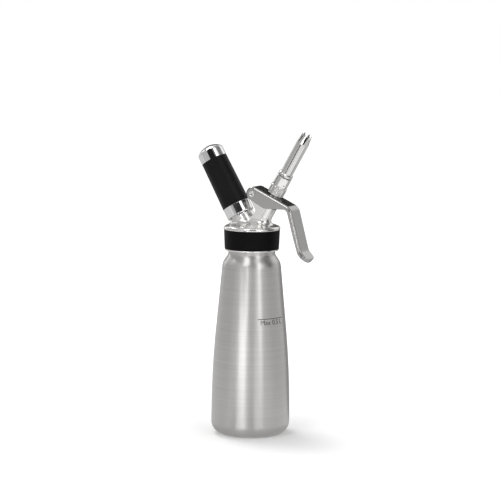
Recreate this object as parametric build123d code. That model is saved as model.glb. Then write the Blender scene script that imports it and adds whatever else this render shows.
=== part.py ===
from build123d import *
import os
from math import acos, cos, degrees, radians, sin, tan

# Whipped cream dispenser, half litre, for one 8 g gas charger.  Millimetres, +Z up.
# The origin is the centre of the bottle's base.  +X is the nozzle and lever side, -X the charger side,
# and the head is the same on both sides of the XZ plane.

# ---------------------------------------------------------------- fits and edges
touch_gap = 0.05          # between two pieces of different bodies that bear on each other
shaft_gap = 0.05          # radial clearance of a pin or stem that turns or slides
thread_gap = 0.10         # radial clearance between a male thread's crest and the bore round it
thread_depth = 0.6        # the male threads aren't cut: they are drawn at their root, this far in
slip_gap = 0.30           # clearance of loose covers and of the lever beside the head
press_gap = 0.025         # radial clearance drawn for a pin that is pressed into the head
edge_break = 0.6          # rounding of edges that a hand meets
fine_break = 0.4          # rounding of small turned edges
cut_past = 1.0            # how far a cut starts outside the face that it opens

# ---------------------------------------------------------------- bottle
belly_radius = 40.1
base_corner = 12.5
bottle_wall = 1.0
bottle_base = 1.4
cone_angle = 5.31         # the body's taper, in degrees from vertical
belly_height = 65.1       # where the taper would meet the belly without the belly's long curve
belly_curve = 940.0
shoulder_height = 176.9   # where the taper meets the shoulder
shoulder_angle = 33.9     # the shoulder's slope, in degrees from vertical
shoulder_round = 15.0
neck_radius = 24.0
neck_fillet = 3.0
rim_height = 206.0
bead_height = 2.4         # rolled bead round the bottle's mouth
bead_round = 0.3

# ---------------------------------------------------------------- head, turned part
bore_gap = 0.7            # the neck's thread stands in this gap
skirt_wall = 1.6
skirt_height = 16.3       # how far the skirt reaches down over the neck
lip_height = 1.5
lip_radius = 27.5
band_height = 19.8
band_top_radius = 28.6
band_low_radius = 27.8
rim_radius = 29.0
rim_edge_round = 3.0
crown_height = 13.9       # crown's top above the bottle's rim
crown_sphere = 74.0
boss_blend = 5.0          # fillet where the bosses rise from the crown
boss_root = 8.0           # where both bosses start along their axes, inside the crown
gasket_thick = 2.0
gasket_width = 3.6
gasket_tab = 5.0
gasket_tab_round = 1.8
roof_thick = 3.6
roof_round = 2.0
cavity_radius = 19.0

# ---------------------------------------------------------------- the two slanted axes
axis_tilt = 30.0          # each axis leans this far from vertical
axes_below_rim = 3.2      # where both meet the bottle's axis

# ---------------------------------------------------------------- gas port and charger
port_boss_radius = 12.6
port_boss_top = 24.9      # lengths along an axis count from where the axes cross
port_boss_foot = 14.6     # the boss's radius where it leaves the crown
port_boss_flare = 14.0    # how far the flared foot reaches down from the boss's top
port_boss_edge = 0.8
port_thread_radius = 11.2
port_thread_length = 11.0
port_stem_radius = 7.0
port_stem_length = 5.0
port_recess_radius = 5.4
port_floor = 28.0
port_seal_thick = 2.0
gas_channel_radius = 1.2
pin_radius = 1.0
pin_tip = 33.0
pin_point = 1.6
pin_head_radius = 2.4
pin_head_thick = 2.0
pin_vent_radius = 0.4     # hole beside the pin that lets the gas through its head
pin_vent_place = 1.7
check_valve_radius = 2.6
check_valve_length = 4.0
check_valve_top = 13.4
check_valve_round = 1.0
check_stub_radius = 1.6
check_stub_length = 3.0
check_channel_radius = 0.8
check_boss_radius = 3.8
check_boss_length = 6.0
charger_radius = 8.9
charger_length = 65.5
charger_wall = 1.9
charger_neck_radius = 4.4
charger_neck_length = 7.0
charger_neck_round = 2.0
charger_shoulder = 6.0
charger_shoulder_round = 5.0
charger_hole_radius = 1.3

# ---------------------------------------------------------------- charger holder
holder_low = 25.9
collar_length = 11.3
collar_radius = 14.4
collar_chamfer = 0.9
grip_top_radius = 13.6
grip_skin = 2.0
cap_length = 15.6
cap_above_charger = 9.05  # from the charger's end to the cap's top
cap_side = 9.8            # the cap's straight side, below its domed end
cap_edge_round = 2.6
cap_socket = 4.5          # how far the tube reaches into the cap
cap_socket_wall = 1.9
charger_slip = 0.5
thread_relief = 1.0       # plain length past the port's thread before the tube's bore narrows
bore_taper = 2.0
tab_turn = 26.0           # the tabs' places, turned about the holder's axis from square to the head
tab_width = 5.7
tab_length = 10.6
tab_foot_spread = 1.6
tab_foot_round = 0.7

# ---------------------------------------------------------------- valve and nozzle
valve_boss_radius = 8.8
valve_boss_top = 39.0
lug_shoulder = 8.2        # where the lug starts to rise from the boss's top, out from the nozzle's axis
lug_round = 5.2           # radius of the lug's eye round the pivot
lug_back_start = 20.0     # where the lug's back leaves its foot, along the charger's axis
lug_back_round = 4.0
lug_shoulder_round = 3.0
seat_height = 10.0
seat_radius = 6.2
seat_length = 12.0
seat_bore_radius = 5.0
seat_bore_length = 5.0
stem_radius = 4.0
stem_bore_radius = 2.2
stem_top = 67.0
stem_head_radius = 5.8
stem_head_thick = 3.0
stem_head_round = 1.0
stem_port_radius = 1.5
seal_thick = 1.8
ring_width = 1.4          # height of the stem's O-ring
ring_depth = 1.05         # depth of its groove
ring_height = 21.0
spring_pocket_radius = 6.9
spring_pocket_floor = 28.0
spring_wire = 1.1
spring_radius = 5.7
spring_turns = 7.5
collar_crown = 40.0       # radius of the domed face that the lever pushes on
thrust_radius = 8.2
thrust_edge = 2.4
adapter_low = 53.1
knurl_radius = 8.4
knurl_length = 9.3
barrel_radius = 7.7       # the adapter's plain middle part and the tip's collar
barrel_length = 11.6
flat_length = 9.0         # two spanner flats
flat_depth = 1.0
flat_turn = 35.0          # the flats' places, turned about the nozzle's axis from square to the head
pin_hole_radius = 0.6     # small hole in one flat, for the pin that locks the adapter on the stem
pin_hole_depth = 2.0
pin_hole_above = 3.8      # from the knurled foot's top
pin_hole_beside = 2.4     # from the flat's middle
spigot_radius = 4.9
spigot_length = 12.0
tip_seal_thick = 0.6
tip_seal_radius = 7.1
tip_collar_length = 3.6
tip_chamfer = 1.3
tip_radius = 6.3
tip_wall = 0.9
tip_slot_root = 113.8
tip_teeth_length = 9.6
tip_end_radius = 5.0
tip_end_wall = 0.54
tip_bend_round = 12.0
tip_teeth = 6
tip_slot_root_width = 0.9
tip_slot_end_width = 4.0

# ---------------------------------------------------------------- lever
lever_arm = 18.3          # from the nozzle's axis square out to the pivot
pivot_along = 41.7        # the pivot's place along the nozzle's axis
plate_angle = 24.5        # slope of the lever's top plate, in degrees below level
plate_above_pivot = 7.2
plate_length = 44.8
plate_start = 4.2         # how far the plate reaches back past the pivot
sheet = 1.4
bend_round = 2.2
knee_round = 10.0
finger_turn = 50.2        # the finger part is bent down by this from the plate
finger_length = 42.0
curl_radius = 12.0
curl_turn = 28.0
tip_straight = 8.8
flange_depth = 4.7
flange_taper = 24.0       # how far before the curl the flanges start to get shallower
flange_tip_depth = 4.4
flange_bend_radius = 4.0       # rounding where the flanges turn along the tip
tip_corner = 9.2
cheek_foot = 18.5
cheek_depth = 7.3
cheek_rise_round = 13.0
cheek_rise_end = 0.6      # where the rising lower edge meets the finger's flange, past the knee
cheek_knee_round = 5.0
eye_lower = 35.0          # where the cheek's lower edge leaves the round eye, in degrees
plate_hole_radius = 5.1
plate_hole_shift = 0.2
pivot_pin_radius = 2.4
pivot_head_radius = 3.1
pivot_head_thick = 0.8
pivot_dish_radius = 2.1
pivot_dish_depth = 0.4
pivot_dimple_radius = 1.2
pivot_dimple_depth = 2.0

# ---------------------------------------------------------------- derived places
bore_radius = neck_radius + bore_gap
skirt_radius = bore_radius + skirt_wall
skirt_low = rim_height - skirt_height
bead_radius = bore_radius - slip_gap
band_low = skirt_low + lip_height
band_top = band_low + band_height
axes_cross = rim_height - axes_below_rim
roof_height = rim_height + gasket_thick + touch_gap
crown_top = rim_height + crown_height
crown_centre = crown_top - crown_sphere
rim_corner_height = crown_centre + (crown_sphere**2 - rim_radius**2) ** 0.5
port_top = port_boss_top + port_thread_length
port_foot = port_boss_top - port_stem_length
charger_low = port_floor + port_seal_thick + touch_gap
charger_top = charger_low + charger_length
grip_low = holder_low + collar_length
cap_top = charger_top + cap_above_charger
grip_top = cap_top - cap_length
tube_radius = collar_radius - grip_skin
tube_bore = charger_radius + charger_slip
plug_radius = tube_bore + cap_socket_wall
barrel_low = adapter_low + knurl_length
barrel_top = barrel_low + barrel_length
spigot_top = barrel_top + spigot_length
tip_low = barrel_top + tip_seal_thick + touch_gap
tip_end = tip_slot_root + tip_teeth_length
lever_half = valve_boss_radius + slip_gap + sheet
channel_half = valve_boss_radius + slip_gap

nozzle_frame = Location((0, 0, axes_cross), (0, axis_tilt, 0))
holder_frame = Location((0, 0, axes_cross), (0, -axis_tilt, 0))


def nozzle_point(out, along):
    """A point in the XZ plane, out from the nozzle's axis and along it."""
    return (nozzle_frame * Location((out, 0, along))).position


def holder_point(out, along):
    """A point in the XZ plane, out from the charger's axis towards the nozzle and along it."""
    return (holder_frame * Location((out, 0, along))).position


pivot = nozzle_point(-lever_arm, pivot_along)
plate_dir = Vector(cos(radians(plate_angle)), 0, -sin(radians(plate_angle)))
lever_plane = Plane(origin=pivot, x_dir=plate_dir, z_dir=(0, -1, 0))
side_plane = Plane.XZ


# ---------------------------------------------------------------- shapes used throughout
def outline(*corners):
    """A closed face through corners given as (x, y) or (x, y, corner radius)."""
    spots = [Vector(*corner[:2]) for corner in corners]
    stations = []
    for i, here in enumerate(spots):
        radius = corners[i][2] if len(corners[i]) == 3 else 0
        back = (spots[i - 1] - here).normalized()
        ahead = (spots[(i + 1) % len(spots)] - here).normalized()
        if radius == 0:
            stations.append((here, None, here))
            continue
        half = radians(back.get_angle(ahead)) / 2
        reach = radius / tan(half)
        middle = here + (back + ahead).normalized() * (radius / sin(half) - radius)
        stations.append((here + back * reach, middle, here + ahead * reach))
    edges = []
    for i, (start, middle, end) in enumerate(stations):
        if middle is not None:
            edges.append(ThreePointArc(start, middle, end))
        edges.append(Line(end, stations[(i + 1) % len(stations)][0]))
    return make_face(edges)


def turned(*corners):
    """A solid turned about Z from (radius, height) corners."""
    return revolve(side_plane * outline(*corners), Axis.Z)


def rod(radius, low, high):
    """A round bar on the Z axis between two heights."""
    return Pos(0, 0, low) * Cylinder(radius, high - low, align=(Align.CENTER, Align.CENTER, Align.MIN))


def tube(outer, inner, low, high):
    """A round tube on the Z axis between two heights."""
    return rod(outer, low, high) - rod(inner, low, high)


def crossbar(radius, length, x=0, z=0):
    """A round bar along Y, centred on the XZ plane."""
    return Pos(x, 0, z) * Rot(90, 0, 0) * Cylinder(radius, length)


# ---------------------------------------------------------------- bottle
def bottle_corners(inset, base, top):
    """The bottle's outline, set in by a wall's thickness."""
    taper = tan(radians(cone_angle))
    flank = tan(radians(shoulder_angle))
    taper_in = inset / cos(radians(cone_angle))
    flank_in = inset / cos(radians(shoulder_angle))
    belly = belly_radius - inset
    belly_z = belly_height + (inset - taper_in) / taper
    shoulder_radius = belly_radius - taper * (shoulder_height - belly_height)
    rise = (taper_in - flank_in) / (flank - taper)
    neck = neck_radius - inset
    neck_rise = (shoulder_radius - flank_in - neck) / flank
    return [
        (0, base),
        (belly, base, base_corner - inset),
        (belly, belly_z, belly_curve - inset),
        (shoulder_radius - flank * rise - flank_in, shoulder_height + rise, shoulder_round - inset),
        (neck, shoulder_height + neck_rise, neck_fillet + inset),
        (neck, top),
        (0, top),
    ]


def bottle():
    """Spun steel bottle, a long taper with a rounded foot and a beaded mouth."""
    body = turned(*bottle_corners(0, 0, rim_height))
    bead_low = rim_height - bead_height
    inside = neck_radius - bottle_wall / 2
    bead = turned(
        (inside, bead_low - bore_gap),
        (neck_radius, bead_low - bore_gap),
        (bead_radius, bead_low),
        (bead_radius, rim_height, bead_round),
        (inside, rim_height),
    )
    hollow = turned(*bottle_corners(bottle_wall, bottle_base, rim_height + cut_past))
    return body + bead - hollow


# ---------------------------------------------------------------- head
def under_crown(profile, inset):
    """The part of a profile that lies under the head's crown, or under the roof of the space in it."""
    return profile & (Pos(0, crown_centre) * Circle(crown_sphere - inset))


def head_shell():
    """Skirt, rim and crown as one turned solid, still without its bore."""
    profile = outline(
        (0, skirt_low),
        (lip_radius, skirt_low, edge_break),
        (lip_radius, band_low),
        (skirt_radius, band_low),
        (skirt_radius, band_top),
        (rim_radius, band_top, edge_break),
        (rim_radius, crown_top),
        (0, crown_top),
    )
    profile = under_crown(profile, 0)
    rim_corner = profile.vertices().sort_by_distance((rim_radius, rim_corner_height))[0]
    return revolve(side_plane * fillet(rim_corner, rim_edge_round), Axis.Z)


def port_boss():
    """The round boss that the gas port stands on."""
    boss = turned(
        (0, boss_root),
        (port_boss_foot, boss_root),
        (port_boss_foot, port_boss_top - port_boss_flare),
        (port_boss_radius, port_boss_top, port_boss_edge),
        (0, port_boss_top),
    )
    return holder_frame * boss


def eye_tangent(corner):
    """Where a line from a corner of the lug touches the eye round the pivot."""
    arm = corner - pivot
    turn = degrees(acos(lug_round / arm.length))
    return pivot + arm.rotate(Axis.Y, -turn).normalized() * lug_round


def valve_neck():
    """The valve's boss and the lever's lug: one bar of a slot's section, cut to its side view."""
    bar_length = lever_arm + 2 * lug_round
    slot = SlotOverall(bar_length + 2 * valve_boss_radius, 2 * valve_boss_radius)
    bar = nozzle_frame * extrude(Pos(-bar_length / 2, 0) * slot, pivot_along + 2 * lug_round)
    eye = (holder_frame.inverse() * Pos(*pivot)).position
    back = eye.X - lug_round
    shoulder = nozzle_point(-lug_shoulder, valve_boss_top)
    corners = [
        (nozzle_point(-valve_boss_radius, boss_root), 0),
        (nozzle_point(valve_boss_radius + cut_past, boss_root), 0),
        (nozzle_point(valve_boss_radius + cut_past, valve_boss_top), 0),
        (shoulder, lug_shoulder_round),
        (eye_tangent(shoulder), 0),
        (holder_point(back, eye.Z), 0),
        (holder_point(back, lug_back_start), lug_back_round),
    ]
    view = outline(*[(spot.X, spot.Z, corner) for spot, corner in corners])
    neck = bar & extrude(side_plane * view, valve_boss_radius + cut_past, both=True)
    return neck + crossbar(lug_round, 2 * valve_boss_radius, pivot.X, pivot.Z)


def crown_seams(body):
    """The edges where the bosses and the lug meet the crown."""
    ball_centre = Vector(0, 0, crown_centre)
    marks = (0, 0.25, 0.5, 0.75)

    def on_crown(edge):
        return all(abs((edge @ mark - ball_centre).length - crown_sphere) < 0.02 for mark in marks)

    def level(edge):
        return edge.bounding_box().size.Z < 0.01

    return [edge for edge in body.edges() if on_crown(edge) and not level(edge)]


def head_hollow():
    """The bore over the bottle's neck and the space under the crown."""
    ceiling = outline(
        (0, roof_height - cut_past),
        (cavity_radius, roof_height - cut_past),
        (cavity_radius, crown_top, roof_round),
        (0, crown_top),
    )
    space = revolve(side_plane * under_crown(ceiling, roof_thick), Axis.Z)
    return rod(bore_radius, skirt_low - cut_past, roof_height) + space


def roof_bosses():
    """The valve's seat and the check valve's stub, which hang from the roof."""
    seat = nozzle_frame * rod(seat_radius, seat_height, seat_height + seat_length)
    stub = rod(check_stub_radius, check_valve_top - check_stub_length, check_valve_top + cut_past)
    stub += rod(check_boss_radius, check_valve_top, check_valve_top + check_boss_length)
    inside_crown = Pos(0, 0, crown_centre) * Sphere(crown_sphere - roof_thick / 2)
    return (seat & inside_crown) + holder_frame * stub


def valve_way():
    """What is bored out along the nozzle's axis, from the seat to the spring's pocket."""
    throat_low = seat_height - 3 * cut_past
    mouth = valve_boss_top + cut_past
    guide = rod(stem_radius + shaft_gap, throat_low, mouth)
    pocket = rod(spring_pocket_radius, spring_pocket_floor, mouth)
    throat = rod(seat_bore_radius, throat_low, seat_height + seat_bore_length)
    return nozzle_frame * (guide + pocket + throat)


def gas_way():
    """What is bored out along the charger's axis: the port's socket and the gas channel."""
    socket = rod(port_stem_radius + thread_gap, port_foot, port_boss_top + cut_past)
    stub_end = check_valve_top - check_stub_length
    return holder_frame * (socket + rod(check_channel_radius, stub_end - cut_past, port_boss_top))


def head():
    """Cast head with the gas port's boss, the valve's boss and the lever's lug."""
    shell = head_shell()
    with_port = shell + port_boss()
    with_valve = shell + valve_neck()
    body = with_port.fillet(boss_blend, crown_seams(with_port))
    body += with_valve.fillet(boss_blend, crown_seams(with_valve))
    body = body - head_hollow() + roof_bosses() - valve_way() - gas_way()
    return body - crossbar(pivot_pin_radius + press_gap, 2 * belly_radius, pivot.X, pivot.Z)


def head_band():
    """Rubber grip band let into the skirt."""
    return turned(
        (skirt_radius, band_low),
        (band_low_radius, band_low, fine_break),
        (band_top_radius, band_top, fine_break),
        (skirt_radius, band_top),
    )


def head_gasket():
    """Flat silicone ring on the bottle's rim, with a tab to pull it out by."""
    outer = bore_radius - slip_gap
    inner = outer - gasket_width
    ring = tube(outer, inner, rim_height, rim_height + gasket_thick)
    tab_middle = inner - gasket_tab / 2 + edge_break
    tongue = Pos(0, tab_middle, rim_height + gasket_thick / 2) * Box(gasket_tab, gasket_tab, gasket_thick)
    free_corners = tongue.edges().filter_by(Axis.Z).group_by(Axis.Y)[0]
    return ring + fillet(free_corners, gasket_tab_round)


# ---------------------------------------------------------------- gas port, charger and holder
def port_nipple():
    """Threaded port that the charger holder screws on, with the recess for the charger's neck."""
    body = turned(
        (0, port_foot),
        (port_stem_radius, port_foot),
        (port_stem_radius, port_boss_top),
        (port_thread_radius - thread_depth, port_boss_top),
        (port_thread_radius - thread_depth, port_top, edge_break),
        (0, port_top),
    )
    recess = rod(port_recess_radius, port_floor, port_top + cut_past)
    pin_pocket = rod(pin_head_radius, port_floor - pin_head_thick, port_floor + cut_past)
    channel = rod(gas_channel_radius, port_foot - cut_past, port_floor)
    return holder_frame * (body - recess - pin_pocket - channel)


def piercing_pin():
    """Hardened pin that pierces the charger's seal."""
    pin_low = port_floor - pin_head_thick
    pin = turned(
        (0, pin_low),
        (pin_head_radius, pin_low),
        (pin_head_radius, port_floor),
        (pin_radius, port_floor),
        (pin_radius, pin_tip - pin_point),
        (0, pin_tip),
    )
    vent = Pos(pin_vent_place, 0, 0) * rod(pin_vent_radius, pin_low - cut_past, port_floor + cut_past)
    return holder_frame * (pin - vent)


def charger_seal():
    """Washer that the charger's neck is pressed on."""
    outer = port_recess_radius - touch_gap
    return holder_frame * tube(outer, pin_head_radius, port_floor, port_floor + port_seal_thick)


def gas_check_valve():
    """Rubber cap over the gas channel's stub, which keeps the cream out of the port."""
    cap_low = check_valve_top - check_valve_length
    cap = turned(
        (0, cap_low),
        (check_valve_radius, cap_low, check_valve_round),
        (check_valve_radius, check_valve_top),
        (0, check_valve_top),
    )
    stub = rod(check_stub_radius, check_valve_top - check_stub_length, check_valve_top + cut_past)
    return holder_frame * (cap - stub)


def gas_charger():
    """Steel gas bulb, neck down in the port, its seal pierced by the pin."""
    neck_top = charger_low + charger_neck_length
    body_low = neck_top + charger_shoulder
    ball_height = charger_top - charger_radius
    inner = charger_radius - charger_wall
    bulb = turned(
        (0, charger_low),
        (charger_neck_radius, charger_low, fine_break),
        (charger_neck_radius, neck_top, charger_neck_round),
        (charger_radius, body_low, charger_shoulder_round),
        (charger_radius, ball_height),
        (0, ball_height),
    )
    gas = turned(
        (0, neck_top),
        (charger_hole_radius, neck_top),
        (inner, body_low + charger_wall, charger_shoulder_round - charger_wall / 2),
        (inner, ball_height),
        (0, ball_height),
    )
    bulb += Pos(0, 0, ball_height) * Sphere(charger_radius)
    gas += Pos(0, 0, ball_height) * Sphere(inner)
    hole = rod(charger_hole_radius, charger_low - cut_past, neck_top + cut_past)
    return holder_frame * (bulb - gas - hole)


def holder_tube():
    """Holder's turned tube: threaded collar below, plug for the cap above."""
    thread = port_thread_radius + thread_gap
    thread_end = port_top + thread_relief
    body = turned(
        (thread, holder_low),
        (collar_radius, holder_low, collar_chamfer),
        (collar_radius, grip_low, fine_break),
        (tube_radius, grip_low),
        (tube_radius, grip_top),
        (plug_radius, grip_top),
        (plug_radius, grip_top + cap_socket),
        (tube_bore, grip_top + cap_socket),
        (tube_bore, thread_end + bore_taper),
        (thread, thread_end),
    )
    return holder_frame * body


def cap_blank():
    """The cap's outer form: straight side and a low dome."""
    rise = cap_length - cap_side
    ball = (grip_top_radius**2 + rise**2) / (2 * rise)
    profile = outline((0, grip_top), (grip_top_radius, grip_top), (grip_top_radius, cap_top), (0, cap_top))
    profile = profile & (Pos(0, cap_top - ball) * Circle(ball))
    corner = profile.vertices().sort_by_distance((grip_top_radius, grip_top + cap_side))[0]
    return revolve(side_plane * fillet(corner, cap_edge_round), Axis.Z)


def tab_bars():
    """A bar right across the holder, of the tabs' outline with its flared foot and round head."""
    half = tab_width / 2
    foot = half + tab_foot_spread
    head_round = half * 0.98
    view = outline(
        (-foot, grip_top - cut_past),
        (foot, grip_top - cut_past),
        (foot, grip_top),
        (half, grip_top, tab_foot_round),
        (half, grip_top + tab_length, head_round),
        (-half, grip_top + tab_length, head_round),
        (-half, grip_top, tab_foot_round),
        (-foot, grip_top),
    )
    bars = extrude(side_plane * view, collar_radius, both=True) - rod(tube_radius, holder_low, cap_top)
    return Rot(0, 0, tab_turn) * bars


def holder_cap():
    """Domed cap on the holder, with two keyhole slots for the grip's tabs."""
    socket = rod(plug_radius, grip_top - cut_past, grip_top + cap_socket)
    charger_end = Pos(0, 0, charger_top - charger_radius) * Sphere(charger_radius + slip_gap)
    return holder_frame * (cap_blank() - socket - charger_end - tab_bars())


def holder_grip():
    """Soft grip sleeve between the collar and the cap, with two tabs let into the cap."""
    sleeve = turned(
        (tube_radius, grip_low),
        (collar_radius, grip_low, fine_break),
        (grip_top_radius, grip_top),
        (tube_radius, grip_top),
    )
    return holder_frame * (sleeve + (cap_blank() & tab_bars()))


# ---------------------------------------------------------------- valve
def thrust_top():
    """Top of the thrust collar's crown, just under the lever's plate."""
    lean = radians(axis_tilt - plate_angle)
    under_plate = plate_above_pivot - sheet
    centre = (under_plate + lever_arm * sin(lean) - collar_crown) / cos(lean)
    return pivot_along + centre + collar_crown - touch_gap


def thrust_low():
    """Underside of the thrust collar, where the spring bears."""
    drop = collar_crown - (collar_crown**2 - thrust_radius**2) ** 0.5
    return thrust_top() - drop - thrust_edge


def valve_stem():
    """Hollow stem with its valve head below and the adapter's thread above."""
    head_top = seat_height - seal_thick
    body = turned(
        (0, head_top - stem_head_thick),
        (stem_head_radius, head_top - stem_head_thick, stem_head_round),
        (stem_head_radius, head_top),
        (stem_radius, head_top),
        (stem_radius, stem_top, edge_break),
        (0, stem_top),
    )
    ports_height = seat_height + seat_bore_length / 2
    groove = tube(stem_radius + cut_past, stem_radius - ring_depth, ring_height, ring_height + ring_width)
    ports = crossbar(stem_port_radius, 4 * stem_radius, 0, ports_height)
    bore = rod(stem_bore_radius, ports_height, stem_top + cut_past)
    return nozzle_frame * (body - groove - ports - bore)


def stem_seal():
    """Rubber washer on the valve head, which closes on the seat."""
    return nozzle_frame * tube(stem_head_radius, stem_radius, seat_height - seal_thick, seat_height)


def stem_ring():
    """O-ring in the stem's groove."""
    middle = (stem_radius - ring_depth / 2, ring_height + ring_width / 2)
    profile = Pos(*middle) * RectangleRounded(ring_depth, ring_width, fine_break)
    return nozzle_frame * revolve(side_plane * profile, Axis.Z)


def return_spring():
    """Coil spring from the pocket's floor to the thrust collar."""
    low = spring_pocket_floor + spring_wire / 2
    height = thrust_low() - spring_wire / 2 - low
    path = Pos(0, 0, low) * Helix(pitch=height / spring_turns, height=height, radius=spring_radius)
    section = Plane(origin=path @ 0, z_dir=path % 0) * Circle(spring_wire / 2)
    return nozzle_frame * sweep(section, path=path, is_frenet=True)


def thrust_collar():
    """Domed collar on the stem that the lever's plate pushes down."""
    profile = outline(
        (stem_radius, thrust_low()),
        (thrust_radius, thrust_low(), fine_break),
        (thrust_radius, thrust_top()),
        (stem_radius, thrust_top()),
    )
    profile = profile & (Pos(0, thrust_top() - collar_crown) * Circle(collar_crown))
    return nozzle_frame * revolve(side_plane * profile, Axis.Z)


# ---------------------------------------------------------------- nozzle
def nozzle_adapter():
    """Adapter on the stem: knurled foot, two spanner flats and the tip's thread."""
    body = turned(
        (stem_radius, adapter_low),
        (knurl_radius, adapter_low, edge_break),
        (knurl_radius, barrel_low, edge_break),
        (barrel_radius, barrel_low),
        (barrel_radius, barrel_top, fine_break),
        (spigot_radius - thread_depth, barrel_top),
        (spigot_radius - thread_depth, spigot_top, fine_break),
        (stem_bore_radius, spigot_top),
        (stem_bore_radius, stem_top),
        (stem_radius, stem_top),
    )
    turn = Rot(0, 0, flat_turn)
    for side in (-1, 1):
        place = Pos(0, side * (2 * barrel_radius - flat_depth), barrel_low + barrel_length / 2)
        body -= turn * place * Box(3 * barrel_radius, 2 * barrel_radius, flat_length)
    hole_end = flat_depth + pin_hole_depth - barrel_radius
    hole = Pos(pin_hole_beside, hole_end, barrel_low + pin_hole_above) * Rot(90, 0, 0)
    hole *= Cylinder(pin_hole_radius, 2 * barrel_radius, align=(Align.CENTER, Align.CENTER, Align.MIN))
    return nozzle_frame * (body - turn * hole)


def tip_seal():
    """Washer between the adapter and the tip."""
    seal = tube(tip_seal_radius, spigot_radius + touch_gap, barrel_top, barrel_top + tip_seal_thick)
    return nozzle_frame * seal


def tip_notch():
    """The pointed slot between two teeth, cut to one side of the axis."""
    root = tip_slot_root_width / 2
    end = tip_slot_end_width / 2
    notch = outline(
        (-root, tip_slot_root, root * 0.9),
        (root, tip_slot_root, root * 0.9),
        (end, tip_end + cut_past),
        (-end, tip_end + cut_past),
    )
    return extrude(Plane.YZ * notch, 2 * tip_radius)


def decorator_tip():
    """Tulip tip: a tube on a chamfered collar, cut into teeth that close in."""
    bore = tip_radius - tip_wall
    thread = spigot_radius + thread_gap
    thread_top = spigot_top + thread_relief
    collar_top = tip_low + tip_collar_length
    body = turned(
        (thread, tip_low),
        (barrel_radius, tip_low, fine_break),
        (barrel_radius, collar_top - tip_chamfer),
        (tip_radius, collar_top),
        (tip_radius, tip_slot_root, tip_bend_round),
        (tip_end_radius, tip_end),
        (tip_end_radius - tip_end_wall, tip_end),
        (bore, tip_slot_root, tip_bend_round),
        (bore, thread_top),
        (thread, thread_top - thread_relief / 2),
    )
    for tooth in range(tip_teeth):
        body -= Rot(0, 0, tooth * 360 / tip_teeth) * tip_notch()
    return nozzle_frame * body


# ---------------------------------------------------------------- lever
def toward(angle):
    """Unit direction in the lever's plane, an angle below its x axis."""
    return Vector(cos(radians(angle)), -sin(radians(angle)))


def square_in(angle):
    """The direction square to toward(angle), to the lever's open side."""
    return Vector(-sin(radians(angle)), -cos(radians(angle)))


knee = Vector(plate_length, plate_above_pivot)
curl_start = knee + toward(finger_turn) * finger_length
curl_centre = curl_start - square_in(finger_turn) * curl_radius
end_turn = finger_turn - curl_turn


def skin(inset):
    """The lever's outer line from above the pivot to the tip, set in by part of the sheet."""
    half_turn = finger_turn / 2
    corner = knee + (square_in(0) - toward(0) * tan(radians(half_turn))) * inset
    round_in = knee_round - inset
    reach = round_in * tan(radians(half_turn))
    knee_start = corner - toward(0) * reach
    knee_end = corner + toward(finger_turn) * reach
    knee_middle = knee_start + (square_in(0) - square_in(half_turn)) * round_in
    curl = curl_radius + inset
    curl_from = curl_centre + square_in(finger_turn) * curl
    curl_middle = curl_centre + square_in((finger_turn + end_turn) / 2) * curl
    curl_to = curl_centre + square_in(end_turn) * curl
    return [
        Line((0, plate_above_pivot - inset), knee_start),
        ThreePointArc(knee_start, knee_middle, knee_end),
        Line(knee_end, curl_from),
        ThreePointArc(curl_from, curl_middle, curl_to),
        Line(curl_to, curl_to + toward(end_turn) * (tip_straight - inset)),
    ]


def finger_side(meets):
    """Side view of the finger part and its shallow flanges, from the knee to the tip."""
    line = skin(0)
    tip = line[-1] @ 1
    knee_from = line[1] @ 0
    inside = Vector(cheek_foot, plate_above_pivot)
    flange_start = curl_start + square_in(finger_turn) * flange_depth - toward(finger_turn) * flange_taper
    flange_tip = tip + square_in(end_turn) * flange_tip_depth
    turn_back = tip_straight + curl_radius * tan(radians(curl_turn / 2))
    flange_turn = flange_tip - toward(end_turn) * turn_back
    inner_line = [
        Line(tip, flange_tip),
        Line(flange_tip, flange_turn),
        TangentArc(flange_start, flange_turn, tangent=toward(finger_turn)),
        Line(flange_start, meets),
        Line(meets, inside),
        Line(inside, knee_from),
    ]
    view = make_face(line[1:] + inner_line)
    turn_corner = view.vertices().sort_by_distance((flange_turn.X, flange_turn.Y))[0]
    return fillet(turn_corner, flange_bend_radius)


def lever_side():
    """Side view of the whole lever: round eye, deep cheeks and the finger part's shallow flanges."""
    meets = knee + square_in(finger_turn) * flange_depth + toward(finger_turn) * cheek_rise_end
    knee_from = skin(0)[1] @ 0
    eye_foot = square_in(0) * plate_above_pivot * cos(radians(eye_lower))
    eye_foot -= toward(0) * plate_above_pivot * sin(radians(eye_lower))
    cheek = outline(
        (0, plate_above_pivot),
        (knee_from.X, knee_from.Y),
        (meets.X, meets.Y),
        (cheek_foot, -cheek_depth, cheek_rise_round),
        (eye_foot.X, eye_foot.Y),
    )
    under = outline(
        (eye_foot.X, eye_foot.Y),
        (cheek_foot, -cheek_depth),
        (cheek_foot, -3 * cheek_depth),
        (eye_foot.X - cheek_depth, -3 * cheek_depth),
        (eye_foot.X - cheek_depth, eye_foot.Y),
    )
    view = (Circle(plate_above_pivot) - under) + cheek + finger_side(meets)
    inner_knee = view.vertices().sort_by_distance((meets.X, meets.Y))[0]
    return fillet(inner_knee, cheek_knee_round)


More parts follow.
